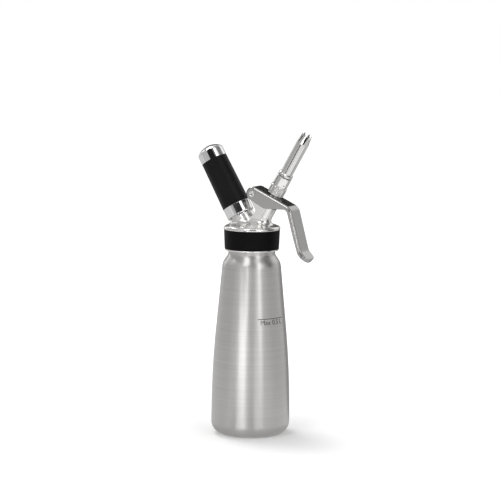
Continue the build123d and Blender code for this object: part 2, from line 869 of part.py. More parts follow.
def lever_channel():
    """Side view of what is open between the cheeks."""
    line = skin(sheet)
    tip = line[-1] @ 1
    below = -3 * cheek_depth
    deep_tip = tip + square_in(end_turn) * 2 * flange_depth
    deep_middle = Vector(plate_length / 2, 2 * below)
    deep_eye = Vector(0, below)
    closing = [
        Line(tip, deep_tip),
        Line(deep_tip, deep_middle),
        Line(deep_middle, deep_eye),
        Line(deep_eye, line[0] @ 0),
    ]
    finger = make_face(line + closing)
    eye = Circle(plate_above_pivot - sheet)
    eye += outline((-plate_start, 0), (0, 0), (0, below), (-plate_start, below))
    back_end = -plate_start - plate_above_pivot
    back = outline(
        (-plate_start, 2 * plate_above_pivot),
        (-plate_start, below),
        (back_end, below),
        (back_end, 2 * plate_above_pivot),
    )
    return finger + eye + back


def skin_edges(body):
    """The edges along both sides of the skin and round the tip."""
    line = Wire(skin(0))
    tip = line @ 1

    def on_skin(edge):
        spots = [lever_plane.to_local_coords(edge @ mark) for mark in (0, 0.3, 0.7, 1)]
        beside = all(line.distance_to(Vertex(spot.X, spot.Y, 0)) < 0.02 for spot in spots)
        across = abs(spots[0].Z - spots[-1].Z) > lever_half
        at_tip = (Vector(spots[0].X, spots[0].Y) - tip).length < 0.1
        return beside and (at_tip or not across)

    return [edge for edge in body.edges() if on_skin(edge)]


def tip_trim(inset):
    """What comes off the tip to round its two corners, for a skin set in by the sheet."""
    tip = skin(inset)[-1] @ 1
    origin = lever_plane.from_local_coords(tip)
    ahead = lever_plane.from_local_coords(tip + toward(end_turn)) - origin
    outward = lever_plane.from_local_coords(tip - square_in(end_turn)) - origin
    width = 2 * (lever_half - inset)
    corner = tip_corner - inset
    whole = Pos(-corner / 2, 0) * Rectangle(corner + 2 * cut_past, width + 2 * cut_past)
    kept = Pos(-1.5 * corner, 0) * RectangleRounded(3 * corner, width, corner)
    tip_plane = Plane(origin=origin, x_dir=ahead, z_dir=outward)
    return extrude(tip_plane * (whole - kept), 4 * flange_depth, both=True)


def lever():
    """Pressed steel lever: a channel over the lug, bent down into the finger part with a curled tip."""
    body = extrude(lever_plane * lever_side(), lever_half, both=True)
    for side in (-1, 1):
        body = fillet([edge for edge in skin_edges(body) if side * edge.center().Y > 1], bend_round)
    channel = extrude(lever_plane * lever_channel(), channel_half, both=True)
    body = body - tip_trim(0) - (channel - tip_trim(sheet))
    hole = Rot(90, 0, 0) * Cylinder(plate_hole_radius, 4 * plate_above_pivot)
    body -= lever_plane * (Pos(lever_arm + plate_hole_shift, plate_above_pivot) * hole)
    return body - crossbar(pivot_pin_radius + shaft_gap, 4 * lever_half, pivot.X, pivot.Z)


def pivot_pin():
    """Riveted pin through the lever's cheeks and the head's lug, with a dished head each side."""
    head_low = lever_half + touch_gap
    head_face = head_low + pivot_head_thick
    half = turned(
        (0, 0),
        (pivot_pin_radius, 0),
        (pivot_pin_radius, head_low),
        (pivot_head_radius, head_low),
        (pivot_head_radius, head_face, fine_break),
        (pivot_dish_radius, head_face),
        (pivot_dimple_radius, head_face - pivot_dish_depth),
        (pivot_dimple_radius, head_face - pivot_dimple_depth),
        (0, head_face - pivot_dimple_depth),
    )
    return Pos(pivot.X, 0, pivot.Z) * Rot(90, 0, 0) * (half + mirror(half, Plane.XY))


build = {
    "bottle": bottle,
    "head": head,
    "head_band": head_band,
    "head_gasket": head_gasket,
    "port_nipple": port_nipple,
    "piercing_pin": piercing_pin,
    "charger_seal": charger_seal,
    "gas_check_valve": gas_check_valve,
    "gas_charger": gas_charger,
    "holder_tube": holder_tube,
    "holder_cap": holder_cap,
    "holder_grip": holder_grip,
    "valve_stem": valve_stem,
    "stem_seal": stem_seal,
    "stem_ring": stem_ring,
    "return_spring": return_spring,
    "thrust_collar": thrust_collar,
    "nozzle_adapter": nozzle_adapter,
    "tip_seal": tip_seal,
    "decorator_tip": decorator_tip,
    "lever": lever,
    "pivot_pin": pivot_pin,
}

if __name__ == "__main__":
    os.makedirs("parts", exist_ok=True)
    for name, make in build.items():
        export_step(make(), f"parts/{name}.step")
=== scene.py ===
from math import atan2, cos, pi, radians, sin

import bmesh
import bpy
from mathutils import Matrix, Vector


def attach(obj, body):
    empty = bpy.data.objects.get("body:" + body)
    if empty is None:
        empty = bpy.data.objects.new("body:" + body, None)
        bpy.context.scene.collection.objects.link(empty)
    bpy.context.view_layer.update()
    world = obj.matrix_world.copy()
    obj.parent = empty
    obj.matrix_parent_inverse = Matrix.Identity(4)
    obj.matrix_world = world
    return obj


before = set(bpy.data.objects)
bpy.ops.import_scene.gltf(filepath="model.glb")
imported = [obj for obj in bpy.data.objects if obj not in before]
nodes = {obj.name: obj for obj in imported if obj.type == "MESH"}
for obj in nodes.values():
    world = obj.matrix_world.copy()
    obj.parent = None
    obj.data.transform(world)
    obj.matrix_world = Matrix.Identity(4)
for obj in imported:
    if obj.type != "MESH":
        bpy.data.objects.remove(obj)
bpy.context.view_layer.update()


# ---------------------------------------------------------------- camera
# A long lens that looks down a little from above the object's top, turned to the lever's side.  It
# leans half a degree and is shifted by a pixel or two, which frames the object.
picture_side = 500
camera_azimuth = 28
camera_distance = 2.15
camera_height = 0.457
aim_height = 0.1895
focal_pixels = 2121
lean = radians(0.53)
aim_left = 1.8


def new_object(name, data):
    """An object of the scene that holds this mesh, lamp or camera."""
    thing = bpy.data.objects.new(name, data)
    bpy.context.scene.collection.objects.link(thing)
    return thing


def from_x(azimuth):
    """The angle from +X of an azimuth, which is 0 degrees in front, at -Y, and grows towards +X."""
    return radians(azimuth - 90)


def stand_facing(thing, azimuth, distance, height):
    """Stands a camera or lamp at an azimuth, so that it faces the object's middle."""
    turn = from_x(azimuth)
    thing.location = (distance * cos(turn), distance * sin(turn), height)
    look = Vector((0, 0, aim_height)) - thing.location
    thing.rotation_mode = "QUATERNION"
    thing.rotation_quaternion = look.to_track_quat("-Z", "Y")


camera_data = bpy.data.cameras.new("camera")
camera_data.sensor_width = 36
camera_data.lens = focal_pixels / picture_side * camera_data.sensor_width
camera_data.shift_x = -aim_left / picture_side
camera_data.clip_start = 0.05
camera_data.clip_end = 60
camera = new_object("camera", camera_data)
stand_facing(camera, camera_azimuth, camera_distance, camera_height)
camera.rotation_quaternion = camera.rotation_quaternion @ Matrix.Rotation(lean, 3, "Z").to_quaternion()
bpy.context.scene.camera = camera
bpy.context.scene.view_settings.view_transform = "Standard"


# ---------------------------------------------------------------- floor
# A wide floor painted matt white.  The camera and the metal see it white where nothing shades it.
# It keeps the object's shadow. Close round the bottle's foot its glow is turned down, which paints a contact
# shadow there.
floor_reach = 7.0
floor_white = (0.8, 0.8, 0.8, 1)
# Painted shadow: the floor's glow falls to this level at the bottle's foot and rises again by the near reach.
painted_shadow_reach = 0.04
painted_shadow_glow = 0.2
near_reach = 0.13
near_glow = 0.44
far_reach = 1.0
far_glow = 0.72


def new_material(name):
    """An empty node material."""
    material = bpy.data.materials.new(name)
    material.use_nodes = True
    material.node_tree.nodes.clear()
    return material


def add(tree, kind, values=None, **settings):
    """A node in a tree, with its settings and its sockets' values."""
    node = tree.nodes.new(kind)
    for key, value in settings.items():
        setattr(node, key, value)
    for key, value in (values or {}).items():
        node.inputs[key].default_value = value
    return node


def join(tree, output, target):
    """A wire from one node's output to another's input."""
    tree.links.new(output, target)


def seen_or_mirrored(tree):
    """A mask: one where the camera, a reflection or a clear part looks, and zero where light is gathered."""
    rays = add(tree, "ShaderNodeLightPath")
    seen = add(tree, "ShaderNodeMath", operation="MAXIMUM")
    seen_through = add(tree, "ShaderNodeMath", operation="MAXIMUM")
    join(tree, rays.outputs["Is Camera Ray"], seen.inputs[0])
    join(tree, rays.outputs["Is Glossy Ray"], seen.inputs[1])
    join(tree, seen.outputs[0], seen_through.inputs[0])
    join(tree, rays.outputs["Is Transmission Ray"], seen_through.inputs[1])
    return seen_through.outputs[0]


floor_mesh = bpy.data.meshes.new("floor")
floor_shape = bmesh.new()
bmesh.ops.create_circle(floor_shape, cap_ends=True, segments=64, radius=floor_reach)
floor_shape.to_mesh(floor_mesh)
floor_shape.free()
floor = new_object("floor", floor_mesh)

floor_paint = new_material("white_floor")
tree = floor_paint.node_tree
surface = add(tree, "ShaderNodeBsdfDiffuse", {"Color": floor_white})
place = add(tree, "ShaderNodeTexCoord")
reach = add(tree, "ShaderNodeVectorMath", operation="LENGTH")
# The glow's ramp: its first stop, dim at the bottle's foot, is a painted contact shadow; further out it keeps
# the floor evenly white.
glow_with_painted_shadow = add(tree, "ShaderNodeValToRGB")
glow_with_painted_shadow.color_ramp.elements[0].position = painted_shadow_reach
glow_with_painted_shadow.color_ramp.elements[0].color = (painted_shadow_glow, painted_shadow_glow, painted_shadow_glow, 1)
glow_with_painted_shadow.color_ramp.elements[1].position = near_reach
glow_with_painted_shadow.color_ramp.elements[1].color = (near_glow, near_glow, near_glow, 1)
glow_with_painted_shadow.color_ramp.elements.new(far_reach).color = (far_glow, far_glow, far_glow, 1)
glow = add(tree, "ShaderNodeEmission", {"Color": (1, 1, 1, 1)})
both = add(tree, "ShaderNodeAddShader")
pick = add(tree, "ShaderNodeMixShader")
output = add(tree, "ShaderNodeOutputMaterial")
join(tree, place.outputs["Object"], reach.inputs[0])
join(tree, reach.outputs["Value"], glow_with_painted_shadow.inputs["Fac"])
join(tree, glow_with_painted_shadow.outputs["Color"], glow.inputs["Strength"])
join(tree, surface.outputs[0], both.inputs[0])
join(tree, glow.outputs[0], both.inputs[1])
join(tree, seen_or_mirrored(tree), pick.inputs[0])
join(tree, surface.outputs[0], pick.inputs[1])
join(tree, both.outputs[0], pick.inputs[2])
join(tree, pick.outputs[0], output.inputs["Surface"])
floor.data.materials.append(floor_paint)


# ---------------------------------------------------------------- light
# A soft white room with a tall soft lamp on each side of the camera, and one high behind on the left
# that throws the shadow to the lower right.
room_light = 0.42

world = bpy.data.worlds.new("room")
bpy.context.scene.world = world
world.use_nodes = True
tree = world.node_tree
tree.nodes.clear()
strength = add(tree, "ShaderNodeMapRange", {"To Min": room_light, "To Max": 1.0})
background = add(tree, "ShaderNodeBackground", {"Color": (1, 1, 1, 1)})
output = add(tree, "ShaderNodeOutputWorld")
join(tree, seen_or_mirrored(tree), strength.inputs["Value"])
join(tree, strength.outputs["Result"], background.inputs["Strength"])
join(tree, background.outputs[0], output.inputs["Surface"])


def soft_lamp(name, azimuth, distance, height, size, power):
    """An upright rectangular area lamp that faces the middle of the object."""
    lamp_data = bpy.data.lights.new(name, "AREA")
    lamp_data.shape = "RECTANGLE"
    lamp_data.size, lamp_data.size_y = size
    lamp_data.energy = power
    stand_facing(new_object(name, lamp_data), azimuth, distance, height)


soft_lamp("left_lamp", azimuth=1, distance=1.6, height=0.65, size=(0.75, 1.3), power=11.5)
soft_lamp("right_lamp", azimuth=62, distance=1.6, height=0.8, size=(0.5, 1.3), power=4)
soft_lamp("side_lamp", azimuth=-112, distance=0.9, height=1.5, size=(0.8, 0.8), power=12)


# ---------------------------------------------------------------- mirror cards
# Grey, white and black card, bent round the object as a studio's boards are.  Nothing sees it but
# the metal's reflections, so it lights and shades nothing else.
card_steps = 24


def outline(shape, points, closed=False):
    """Vertices and edges through (out, up) points beside the Z axis, ready to be spun round it."""
    posts = [bmesh.ops.create_vert(shape, co=(out, 0, up))["vert"][0] for out, up in points]
    nexts = posts[1:] + posts[:1] if closed else posts[1:]
    return posts + [shape.edges.new(pair) for pair in zip(posts, nexts)]


def mirror_card(name, grey, start, end, *rail):
    """A card that only metal sees, as bright as its grey: (out, up) points swept between two azimuths."""
    shape = bmesh.new()
    sweep = outline(shape, rail)
    full_turn = end - start == 360
    to_start = Matrix.Rotation(from_x(start), 3, "Z")
    bmesh.ops.rotate(shape, verts=shape.verts, cent=(0, 0, 0), matrix=to_start)
    bmesh.ops.spin(shape, geom=sweep, cent=(0, 0, 0), axis=(0, 0, 1), angle=radians(end - start),
                   steps=card_steps, use_merge=full_turn)
    mesh = bpy.data.meshes.new(name)
    shape.to_mesh(mesh)
    shape.free()
    card = new_object(name, mesh)
    card.visible_camera = False
    card.visible_diffuse = False
    card.visible_shadow = False
    card.visible_transmission = False
    paint = new_material(name)
    tree = paint.node_tree
    glow = add(tree, "ShaderNodeEmission", {"Color": (1, 1, 1, 1), "Strength": grey})
    output = add(tree, "ShaderNodeOutputMaterial")
    join(tree, glow.outputs[0], output.inputs["Surface"])
    card.data.materials.append(paint)


card_lift = 0.002
floor_foot = (0.028, card_lift)
floor_near = (0.06, card_lift)
floor_bright = (0.24, card_lift)
floor_close = (0.38, card_lift)
floor_middle = (0.7, card_lift)

wall_out = 1.2
roof_level = 1.5
floor_edge = (wall_out, card_lift)
wall_pale = (wall_out, 0.15)
wall_side = (wall_out, 0.27)
wall_shade = (wall_out, 0.35)
wall_dim = (wall_out, 0.42)
wall_low = (wall_out, 0.5)
wall_middle = (wall_out, 0.7)
wall_high = (wall_out, 0.98)
wall_dark = (wall_out, 1.15)
wall_top = (wall_out, roof_level)
roof_edge = (wall_out, roof_level + card_lift)
roof_middle = (0, roof_level + card_lift)

line_out = wall_out - 0.01
line_foot = (line_out, 0.2)
line_low = (line_out, 0.36)
line_top = (line_out, 1.0)

flag_out = 0.35
dark_flag_foot = (flag_out, 0.155)
dark_flag_top = (flag_out, 0.26)
grey_flag_foot = (flag_out, 0.19)
grey_flag_top = (flag_out, 0.28)

mirror_card("front_card", 0.03, -2, 54, wall_low, wall_high)
mirror_card("front_high_left_card", 3.3, -12, 13, wall_high, wall_top)
mirror_card("front_high_card", 0.2, 13, 54, wall_high, wall_top)
mirror_card("front_low_card", 0.8, 16, 42, floor_edge, wall_low)
mirror_card("front_line_card", 0.08, 17, 42, line_foot, line_low)
mirror_card("front_near_floor_card", 0.5, 7, 38, floor_near, floor_bright)
mirror_card("front_close_floor_card", 1.0, 7, 38, floor_bright, floor_close)
mirror_card("front_far_floor_card", 0.85, 7, 38, floor_close, floor_edge)
mirror_card("front_shade_card", 0.03, -5, 16, wall_shade, wall_low)
mirror_card("front_side_card", 0.45, -11, -2, wall_side, wall_high)
mirror_card("front_floor_card", 0.42, -16, 7, floor_near, floor_middle)
mirror_card("left_bright_floor_card", 0.8, -16, 7, floor_middle, floor_edge)
mirror_card("left_floor_card", 0.68, -135, -38, floor_near, floor_edge)
mirror_card("left_pale_floor_card", 0.72, -38, -16, floor_near, floor_edge)
mirror_card("left_card", 0.47, -135, -38, floor_edge, wall_top)
mirror_card("left_pale_card", 0.78, -38, -11, floor_edge, wall_pale)
mirror_card("left_side_card", 0.5, -38, -11, wall_pale, wall_top)
mirror_card("left_line_card", 1.5, -116, -105, line_foot, line_top)
mirror_card("right_bright_floor_card", 1.0, 46, 92, floor_bright, floor_close)
mirror_card("right_close_floor_card", 0.5, 92, 158, floor_bright, floor_close)
mirror_card("right_middle_floor_card", 0.65, 45, 158, floor_close, floor_edge)
mirror_card("right_near_floor_card", 0.75, 45, 158, floor_near, floor_bright)
mirror_card("right_card", 0.52, 62, 140, floor_edge, wall_middle)
mirror_card("right_far_card", 0.66, 140, 158, floor_edge, wall_middle)
mirror_card("right_high_card", 0.22, 87, 140, wall_middle, wall_top)
mirror_card("back_floor_card", 0.34, 158, 225, floor_near, floor_edge)
mirror_card("back_low_card", 0.3, 158, 225, floor_edge, wall_dim)
mirror_card("back_card", 0.04, 184, 225, wall_dim, wall_dark)
mirror_card("foot_card", 0.5, 0, 360, floor_foot, floor_near)
mirror_card("nozzle_grey_card", 0.42, -15, -6, grey_flag_foot, grey_flag_top)
mirror_card("nozzle_dark_card", 0.0, -6, 9, dark_flag_foot, dark_flag_top)
mirror_card("top_card", 0.4, 106, 348, roof_edge, roof_middle)
mirror_card("top_left_card", 2.6, -12, 13, roof_edge, roof_middle)
mirror_card("top_front_card", 0.25, 13, 50, roof_edge, roof_middle)
mirror_card("top_right_card", 1.7, 50, 76, roof_edge, roof_middle)
mirror_card("top_dark_card", 0.1, 76, 106, roof_edge, roof_middle)


# ---------------------------------------------------------------- bottle
# The bottle is spun from one sheet of stainless steel and brushed round and round on a lathe, so its
# grain runs in level rings and every light draws out to a tall stripe.
MM = 0.001
grain_depth = 0.02 * MM


def grain_group():
    """Fine lathe or belt marks: lines that run square to the vector's Z and fade along their length."""
    group = bpy.data.node_groups.new("lathe_grain", "ShaderNodeTree")
    face = group.interface
    face.new_socket("Vector", in_out="INPUT", socket_type="NodeSocketVector")
    for name, value in (("Lines per mm", 6.0), ("Run per mm", 0.12), ("Depth", 1.0)):
        face.new_socket(name, in_out="INPUT", socket_type="NodeSocketFloat").default_value = value
    face.new_socket("Height", in_out="OUTPUT", socket_type="NodeSocketFloat")
    face.new_socket("Streak", in_out="OUTPUT", socket_type="NodeSocketFloat")
    half = 0.5
    entry = add(group, "NodeGroupInput")
    leave = add(group, "NodeGroupOutput")
    across = add(group, "ShaderNodeMath", {1: 1 / MM}, operation="MULTIPLY")
    along = add(group, "ShaderNodeMath", {1: 1 / MM}, operation="MULTIPLY")
    stretch = add(group, "ShaderNodeCombineXYZ")
    scaled = add(group, "ShaderNodeVectorMath", operation="MULTIPLY")
    fine = add(group, "ShaderNodeTexNoise", {"Scale": 1.0, "Detail": 3.0, "Roughness": 0.7})
    broad_scale = add(group, "ShaderNodeVectorMath", {"Scale": 0.17}, operation="SCALE")
    broad = add(group, "ShaderNodeTexNoise", {"Scale": 1.0, "Detail": 2.0, "Roughness": 0.6})
    height = add(group, "ShaderNodeMath", operation="MULTIPLY")
    fine_share = add(group, "ShaderNodeMath", {1: half}, operation="MULTIPLY")
    streak = add(group, "ShaderNodeMath", {1: half}, operation="MULTIPLY_ADD")
    join(group, entry.outputs["Lines per mm"], across.inputs[0])
    join(group, entry.outputs["Run per mm"], along.inputs[0])
    join(group, along.outputs[0], stretch.inputs["X"])
    join(group, along.outputs[0], stretch.inputs["Y"])
    join(group, across.outputs[0], stretch.inputs["Z"])
    join(group, entry.outputs["Vector"], scaled.inputs[0])
    join(group, stretch.outputs[0], scaled.inputs[1])
    join(group, scaled.outputs[0], fine.inputs["Vector"])
    join(group, scaled.outputs[0], broad_scale.inputs[0])
    join(group, broad_scale.outputs[0], broad.inputs["Vector"])
    join(group, fine.outputs[0], height.inputs[0])
    join(group, entry.outputs["Depth"], height.inputs[1])
    join(group, fine.outputs[0], fine_share.inputs[0])
    join(group, broad.outputs[0], streak.inputs[0])
    join(group, fine_share.outputs[0], streak.inputs[2])
    join(group, height.outputs[0], leave.inputs["Height"])
    join(group, streak.outputs[0], leave.inputs["Streak"])
    return group


lathe_grain = grain_group()


def metal(name, colour, dark, rough, spread, lines=6.0, run=0.12, depth=0.4, stretch=0.0, turn=(0, 0, 0)):
    """Bare metal with lathe or belt marks: its colour, down to dark, and its roughness follow the grain."""
    material = new_material(name)
    tree = material.node_tree
    marks = {"Lines per mm": lines, "Run per mm": run, "Depth": depth}
    place = add(tree, "ShaderNodeTexCoord")
    aligned = add(tree, "ShaderNodeMapping", {"Rotation": turn})
    grain = add(tree, "ShaderNodeGroup", marks, node_tree=lathe_grain)
    tone = add(tree, "ShaderNodeMix", {"A": (*dark, 1), "B": (*colour, 1)}, data_type="RGBA")
    rougher = add(tree, "ShaderNodeMapRange", {"To Min": rough - spread, "To Max": rough + spread})
    bump = add(tree, "ShaderNodeBump", {"Strength": 0.25, "Distance": grain_depth})
    shader = add(tree, "ShaderNodeBsdfPrincipled", {"Metallic": 1.0, "Anisotropic": stretch})
    output = add(tree, "ShaderNodeOutputMaterial")
    join(tree, place.outputs["Object"], aligned.inputs["Vector"])
    join(tree, aligned.outputs["Vector"], grain.inputs["Vector"])
    join(tree, grain.outputs["Streak"], tone.inputs["Factor"])
    join(tree, tone.outputs["Result"], shader.inputs["Base Color"])
    join(tree, grain.outputs["Streak"], rougher.inputs["Value"])
    join(tree, rougher.outputs["Result"], shader.inputs["Roughness"])
    join(tree, grain.outputs["Height"], bump.inputs["Height"])
    join(tree, bump.outputs["Normal"], shader.inputs["Normal"])
    join(tree, shader.outputs[0], output.inputs["Surface"])
    if stretch:
        round_axis = add(tree, "ShaderNodeTangent", direction_type="RADIAL", axis="Z")
        shader.inputs["Anisotropic Rotation"].default_value = 0.25
        join(tree, round_axis.outputs[0], shader.inputs["Tangent"])
    return material


def dress(node, material):
    """Gives a CAD node its finish."""
    piece = nodes[node]
    if not piece.material_slots:
        piece.data.materials.append(None)
    for slot in piece.material_slots:
        slot.material = material


bottle_steel = (0.75, 0.74, 0.725)
bottle_streak = (0.46, 0.454, 0.444)
brushed = metal("brushed_bottle", bottle_steel, bottle_streak, rough=0.36, spread=0.1, lines=2, run=0.02,
                stretch=0.75)
dress("bottle", brushed)


# ---------------------------------------------------------------- bottle's thread
# A coarse thread of one and a half turns, rolled into the bottle's steel neck.  The head screws down
# on it and squeezes its gasket on the rim.
neck_root = 23.9
neck_crest = 24.5
neck_lead = 5.0
neck_low = 193.0
neck_turns = 1.5
steps_a_turn = 64
ridge_sharp = 40


def finished(name, shape, sharp_angle):
    """An object from a bmesh, smooth but for its sharp edges."""
    mesh = bpy.data.meshes.new(name)
    shape.to_mesh(mesh)
    shape.free()
    mesh.shade_smooth()
    mesh.set_sharp_from_angle(angle=radians(sharp_angle))
    return new_object(name, mesh)


def thread(name, root, crest, lead, low, turns):
    """A thread's ridge: a blunt section wound up the Z axis, closed at both ends.  Sizes in millimetres."""
    foot = 2 * (crest - root)
    corners = ((root, -foot), (crest, -foot / 3), (crest, foot / 3), (root, foot))
    shape = bmesh.new()
    section = outline(shape, [(out * MM, (low + up) * MM) for out, up in corners], closed=True)
    steps = round(steps_a_turn * turns)
    rise = (0, 0, lead * turns * MM / steps)
    bmesh.ops.spin(shape, geom=section, axis=(0, 0, 1), dvec=rise, angle=2 * pi * turns, steps=steps)
    bmesh.ops.holes_fill(shape, edges=[edge for edge in shape.edges if edge.is_boundary])
    bmesh.ops.recalc_face_normals(shape, faces=shape.faces)
    return finished(name, shape, ridge_sharp)


neck_thread = thread("neck_thread", neck_root, neck_crest, neck_lead, neck_low, neck_turns)
neck_thread.data.materials.append(brushed)
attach(neck_thread, "bottle")


# ---------------------------------------------------------------- fill mark
# A level line with its words under it, where half a litre stands.  Both are etched dark into the
# bottle's brushed steel, so they lie in its surface and bend round with it.
mark_height = 123.0
mark_azimuth = 65.5
mark_span = 32.0
mark_stroke = 0.65
mark_sharp = 30
words_span = 26.5
words_tall = 7.0
words_drop = 6.0
etch = 0.05
etched_dark = (0.04, 0.034, 0.029)
etched_pale = (0.09, 0.078, 0.068)
clear_of_bottle = 0.1


def on_wall(outward, level):
    """The point of the bottle's wall that faces a level direction at a height."""
    _, spot, _, _ = nodes["bottle"].ray_cast(outward * clear_of_bottle + Vector((0, 0, level)), -outward)
    return spot


belly_at_mark = on_wall(Vector((1, 0, 0)), mark_height * MM).x / MM


def wrapped(name, shape, drop):
    """A flat mark bent round the bottle's wall, its middle lying in the surface."""
    for vert in shape.verts:
        turn = from_x(mark_azimuth) + vert.co.x / belly_at_mark
        outward = Vector((cos(turn), sin(turn), 0))
        spot = on_wall(outward, (mark_height - drop + vert.co.y) * MM)
        vert.co = spot + outward * vert.co.z * MM
    return finished(name, shape, mark_sharp)


line_shape = bmesh.new()
bmesh.ops.create_grid(line_shape, x_segments=40, y_segments=1, size=0.5)
bmesh.ops.scale(line_shape, vec=(mark_span, mark_stroke, 1), verts=line_shape.verts)
bmesh.ops.solidify(line_shape, geom=line_shape.faces[:], thickness=2 * etch)
line_middle = sum(vert.co.z for vert in line_shape.verts) / len(line_shape.verts)
bmesh.ops.translate(line_shape, vec=(0, 0, -line_middle), verts=line_shape.verts)

words_curve = bpy.data.curves.new("fill_words", "FONT")
words_curve.body = "Max 0.5 L"
words_curve.size = words_tall
words_curve.align_x = "CENTER"
words_curve.extrude = etch
words_flat = bpy.data.objects.new("fill_words", words_curve)
words_mesh = bpy.data.meshes.new_from_object(words_flat)
bpy.data.objects.remove(words_flat)
words_shape = bmesh.new()
words_shape.from_mesh(words_mesh)
across = [vert.co.x for vert in words_shape.verts]
squeeze = words_span / (max(across) - min(across))
bmesh.ops.scale(words_shape, vec=(squeeze, 1, 1), verts=words_shape.verts)
# A cut at every millimetre lets the words bend with the wall.
for cut in range(-round(words_span / 2), round(words_span / 2)):
    everything = [*words_shape.verts, *words_shape.edges, *words_shape.faces]
    bmesh.ops.bisect_plane(words_shape, geom=everything, plane_co=(cut, 0, 0), plane_no=(1, 0, 0))

etched = new_material("etched_mark")
tree = etched.node_tree
place = add(tree, "ShaderNodeTexCoord")
speckle = add(tree, "ShaderNodeTexNoise", {"Scale": 3 / MM, "Detail": 2.0})
tone = add(tree, "ShaderNodeMix", {"A": (*etched_dark, 1), "B": (*etched_pale, 1)}, data_type="RGBA")
shader = add(tree, "ShaderNodeBsdfPrincipled", {"Metallic": 0.6, "Roughness": 0.55})
output = add(tree, "ShaderNodeOutputMaterial")
join(tree, place.outputs["Object"], speckle.inputs["Vector"])
join(tree, speckle.outputs[0], tone.inputs["Factor"])
join(tree, tone.outputs["Result"], shader.inputs["Base Color"])
join(tree, shader.outputs[0], output.inputs["Surface"])
for name, shape, drop in (("fill_line", line_shape, 0), ("fill_words", words_shape, words_drop)):
    mark = wrapped(name, shape, drop)
    mark.data.materials.append(etched)
    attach(mark, "bottle")


# ---------------------------------------------------------------- head casting
# The head with its two slanted bosses is one steel casting, tumbled and polished by hand: smooth and
# bright, but softer than the plated parts.  It screws on the bottle's neck.
casting_bright = (0.88, 0.87, 0.855)
casting_dull = (0.83, 0.82, 0.805)
cast = metal("polished_casting", casting_bright, casting_dull, rough=0.25, spread=0.03, lines=0.3, run=0.3,
             depth=0.01)
dress("head", cast)


# ---------------------------------------------------------------- rubber band
# A wide band of black silicone rubber, moulded with a fine matt skin and stretched round the head's
# skirt, where the hand grips to unscrew it.
skin_depth = 0.02 * MM
patch_tone = 0.3
patch_spread = 0.06
band_black = (0.0015, 0.0015, 0.0015)


def skin_group():
    """The skin that a mould leaves on rubber: a fine leathery grain, and broad patches that are duller."""
    group = bpy.data.node_groups.new("moulded_skin", "ShaderNodeTree")
    face = group.interface
    face.new_socket("Vector", in_out="INPUT", socket_type="NodeSocketVector")
    face.new_socket("Grains per mm", in_out="INPUT", socket_type="NodeSocketFloat").default_value = 4.0
    face.new_socket("Height", in_out="OUTPUT", socket_type="NodeSocketFloat")
    face.new_socket("Dullness", in_out="OUTPUT", socket_type="NodeSocketFloat")
    entry = add(group, "NodeGroupInput")
    leave = add(group, "NodeGroupOutput")
    fineness = add(group, "ShaderNodeMath", {1: 1 / MM}, operation="MULTIPLY")
    skin = add(group, "ShaderNodeTexNoise", {"Detail": 2.0, "Roughness": 0.6})
    dull = add(group, "ShaderNodeTexNoise", {"Scale": 60.0, "Detail": 3.0, "Roughness": 0.5})
    join(group, entry.outputs["Grains per mm"], fineness.inputs[0])
    join(group, fineness.outputs[0], skin.inputs["Scale"])
    join(group, entry.outputs["Vector"], skin.inputs["Vector"])
    join(group, entry.outputs["Vector"], dull.inputs["Vector"])
    join(group, skin.outputs[0], leave.inputs["Height"])
    join(group, dull.outputs[0], leave.inputs["Dullness"])
    return group


moulded_skin = skin_group()


def rubber(name, colour, rough, gloss=0.28):
    """Moulded rubber: colour and roughness wander with the skin's duller patches."""
    material = new_material(name)
    tree = material.node_tree
    deep = (*[value * (1 - patch_tone) for value in colour], 1)
    pale = (*[value * (1 + patch_tone) for value in colour], 1)
    patches = {"To Min": rough - patch_spread, "To Max": rough + patch_spread}
    place = add(tree, "ShaderNodeTexCoord")
    skin = add(tree, "ShaderNodeGroup", node_tree=moulded_skin)
    tone = add(tree, "ShaderNodeMix", {"A": deep, "B": pale}, data_type="RGBA")
    rougher = add(tree, "ShaderNodeMapRange", patches)
    bump = add(tree, "ShaderNodeBump", {"Strength": 0.5, "Distance": skin_depth})
    shader = add(tree, "ShaderNodeBsdfPrincipled", {"Specular IOR Level": gloss})
    output = add(tree, "ShaderNodeOutputMaterial")
    join(tree, place.outputs["Object"], skin.inputs["Vector"])
    join(tree, skin.outputs["Dullness"], tone.inputs["Factor"])
    join(tree, tone.outputs["Result"], shader.inputs["Base Color"])
    join(tree, skin.outputs["Dullness"], rougher.inputs["Value"])
    join(tree, rougher.outputs["Result"], shader.inputs["Roughness"])
    join(tree, skin.outputs["Height"], bump.inputs["Height"])
    join(tree, bump.outputs["Normal"], shader.inputs["Normal"])
    join(tree, shader.outputs[0], output.inputs["Surface"])
    return material


dress("head_band", rubber("black_band_rubber", band_black, rough=0.5, gloss=0.1))


# ---------------------------------------------------------------- gasket
# A flat ring of red silicone with a pull tab, cut from a moulded sheet.  It lies loose on the
# bottle's rim and seals it against the head.
gasket_red = (0.42, 0.03, 0.02)
dress("head_gasket", rubber("red_gasket_silicone", gasket_red, rough=0.45))


# ---------------------------------------------------------------- seals
# The ring seals of the charger and the stem, the gas check valve and the tip's washer are moulded
# black rubber, pressed into their grooves and seats.
seal_black = (0.02, 0.02, 0.02)
seal_rubber = rubber("black_seal_rubber", seal_black, rough=0.4)
for seal in ("charger_seal", "gas_check_valve", "stem_seal", "stem_ring", "tip_seal"):
    dress(seal, seal_rubber)


# ---------------------------------------------------------------- charger port
# A turned steel nipple, nickel chrome plated and screwed into the head's left boss.  Its axis leans
# to the left and meets the bottle's axis inside the head.
axis_lean = 30
axes_cross = 0.2028
plate_bright = (0.85, 0.85, 0.85)
plate_dull = (0.78, 0.78, 0.78)
holder_turn = (0, radians(axis_lean), 0)
holder_place = Matrix.Translation((0, 0, axes_cross)) @ Matrix.Rotation(radians(-axis_lean), 4, "Y")
plated = metal("bright_plate", plate_bright, plate_dull, rough=0.07, spread=0.02, lines=3, run=0.1,
               depth=0.1, turn=holder_turn)
dress("port_nipple", plated)


